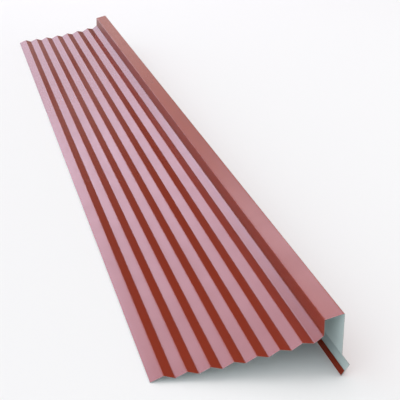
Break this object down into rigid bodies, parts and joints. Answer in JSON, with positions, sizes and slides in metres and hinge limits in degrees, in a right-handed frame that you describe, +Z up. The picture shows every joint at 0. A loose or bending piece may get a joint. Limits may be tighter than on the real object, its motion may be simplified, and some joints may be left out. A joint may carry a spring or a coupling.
{
  "type": "verge flashing",
  "caption": "Length of prepainted steel verge flashing: V-ribbed pan, raised box rib along one side and a fascia with a hemmed drip nose, to cover a roof's gable edge.",
  "frame": {"origin": "bottom centre of the bounding box, on the floor that the free edge of the pan and the fold of the hem rest on", "axes": "+X across the section from the pan's free edge to the fascia, +Y along the length, +Z up"},
  "size_m": [0.35, 3, 0.1172],
  "materials": {
    "prepainted_steel": "satin brick-red paint on the weather face, pale grey coat on the back"
  },
  "bodies": {
    "root": {"verge_flashing": "prepainted_steel"}
  },
  "joints": []
}
